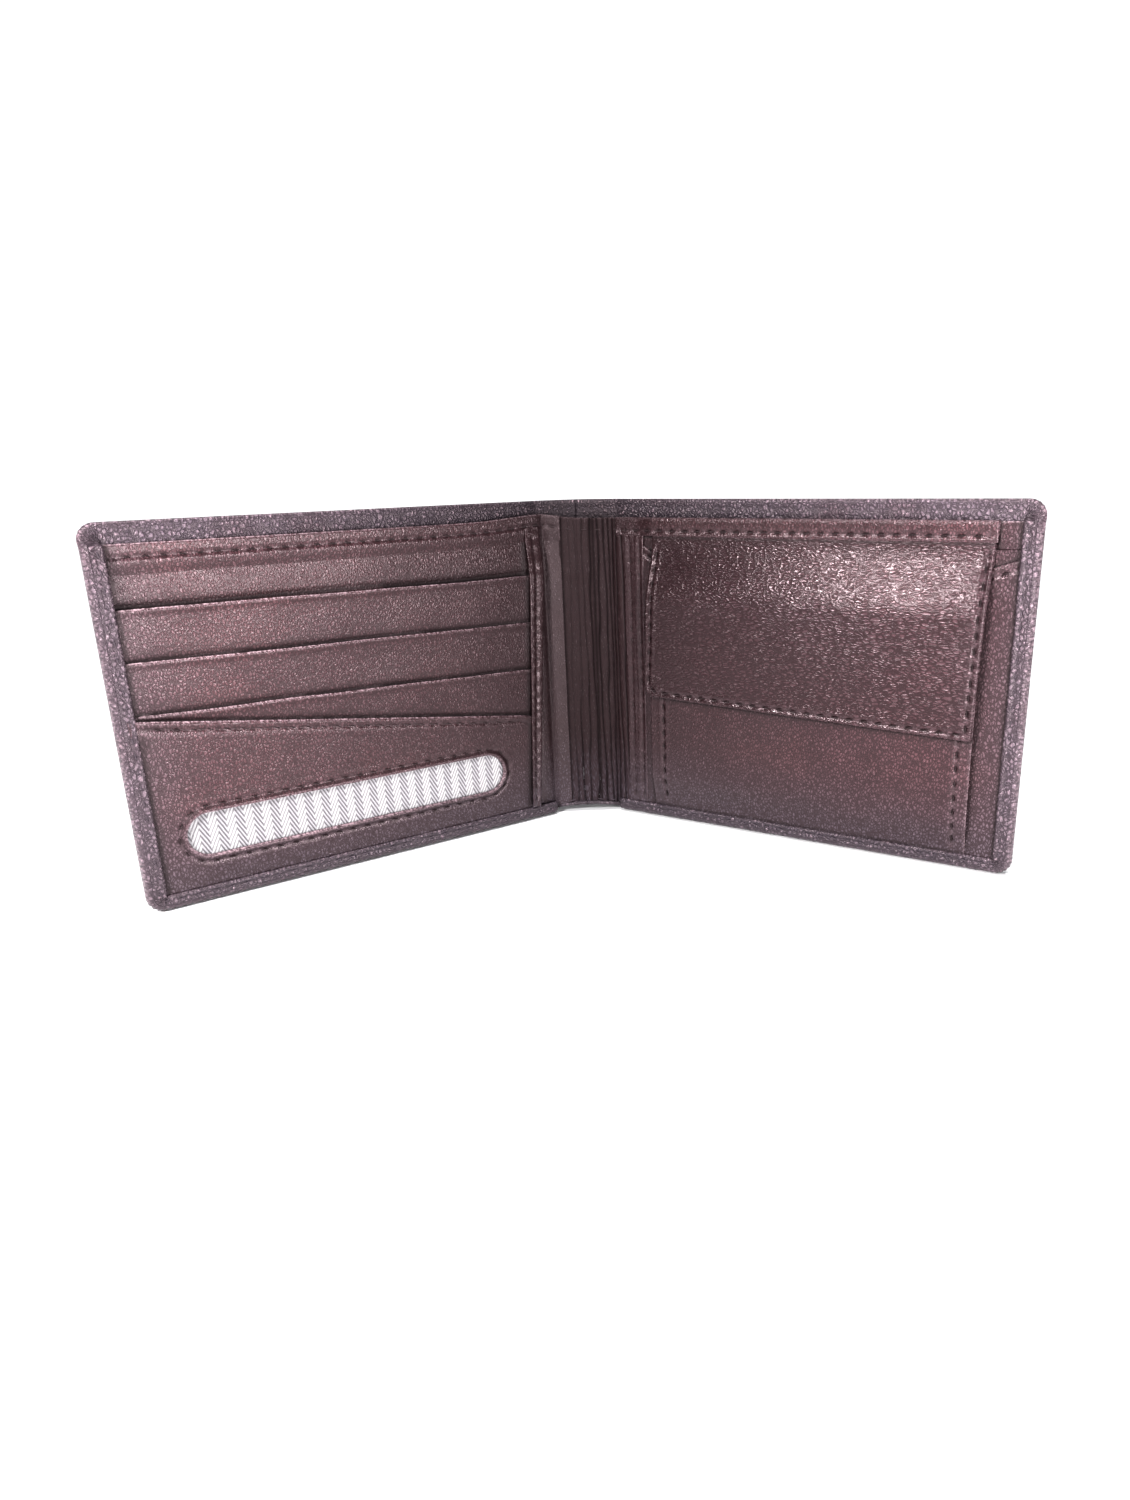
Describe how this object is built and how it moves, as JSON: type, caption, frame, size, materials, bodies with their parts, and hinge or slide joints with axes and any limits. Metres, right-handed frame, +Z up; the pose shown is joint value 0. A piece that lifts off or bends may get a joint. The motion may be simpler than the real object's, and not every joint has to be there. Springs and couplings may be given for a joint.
{
  "type": "bifold wallet",
  "caption": "Leather bifold wallet standing open, with stepped card slots and a window pocket on one half and a flapped coin pocket on the other.",
  "frame": {"origin": "middle of the bottom of the standing wallet's box, on the surface it stands on", "axes": "+X along the opened width towards the coin side, +Y to the back, where the fold is, +Z up; the inner faces look towards -Y"},
  "size_m": [0.2154, 0.0705, 0.092],
  "materials": {
    "cover_leather": "pebble grain, semi-gloss, dark plum brown with a greyish cast",
    "panel_leather": "fine grain, semi-gloss, dark plum brown",
    "flap_leather": "pebble grain, glossier, dark plum brown",
    "spine_leather": "creased, satin, darker plum brown",
    "striped_lining": "white and grey striped twill",
    "flap_filler": "unwoven filler board, dull",
    "snap_brass": "turned, satin"
  },
  "bodies": {
    "spine": {"cover_spine": "cover_leather", "top_hem_spine": "cover_leather", "cover_lining_spine": "striped_lining", "bill_lining_spine": "striped_lining", "spine_panel": "spine_leather", "top_strip_spine": "spine_leather", "bottom_hem_spine": "cover_leather"},
    "left_half": {"cover_left": "cover_leather", "top_hem_left": "cover_leather", "side_hem_left": "cover_leather", "bottom_hem_left": "cover_leather", "cover_lining_left": "striped_lining", "bill_lining_left": "striped_lining", "card_panel": "panel_leather", "top_strip_left": "panel_leather", "card_pocket_1": "panel_leather", "card_pocket_2": "panel_leather", "card_pocket_3": "panel_leather", "pocket_lining_1": "striped_lining", "pocket_lining_2": "striped_lining", "pocket_lining_3": "striped_lining", "window_pocket": "panel_leather", "window_rim": "panel_leather", "pocket_binding": "panel_leather"},
    "right_half": {"cover_right": "cover_leather", "top_hem_right": "cover_leather", "side_hem_right": "cover_leather", "bottom_hem_right": "cover_leather", "cover_lining_right": "striped_lining", "bill_lining_right": "striped_lining", "coin_panel": "panel_leather", "spine_band": "spine_leather", "flap_root": "flap_leather", "top_strip_right": "panel_leather", "slip_pocket": "panel_leather", "coin_pocket_back": "striped_lining", "coin_pocket_gusset": "panel_leather", "coin_pocket_lining": "striped_lining", "coin_pocket_front": "panel_leather", "snap_stud": "snap_brass"},
    "coin_flap": {"coin_flap_outer": "flap_leather", "coin_flap_lining": "flap_leather", "coin_flap_filler": "flap_filler", "snap_socket": "snap_brass"}
  },
  "joints": [
    {"name": "left_fold", "type": "hinge", "parent": "spine", "child": "left_half", "pos_m": [-0.011, 0.03188, 0], "axis": [0, 0, 1], "range_deg": [-33, 59.5]},
    {"name": "right_fold", "type": "hinge", "parent": "spine", "child": "right_half", "pos_m": [0.011, 0.03188, 0], "axis": [0, 0, -1], "range_deg": [-33, 59.5]},
    {"name": "coin_flap_hinge", "type": "hinge", "parent": "right_half", "child": "coin_flap", "pos_m": [0.05796, -0.00414, 0.0813], "axis": [-0.8519, 0.5237, 0], "range_deg": [0, 170]}
  ]
}
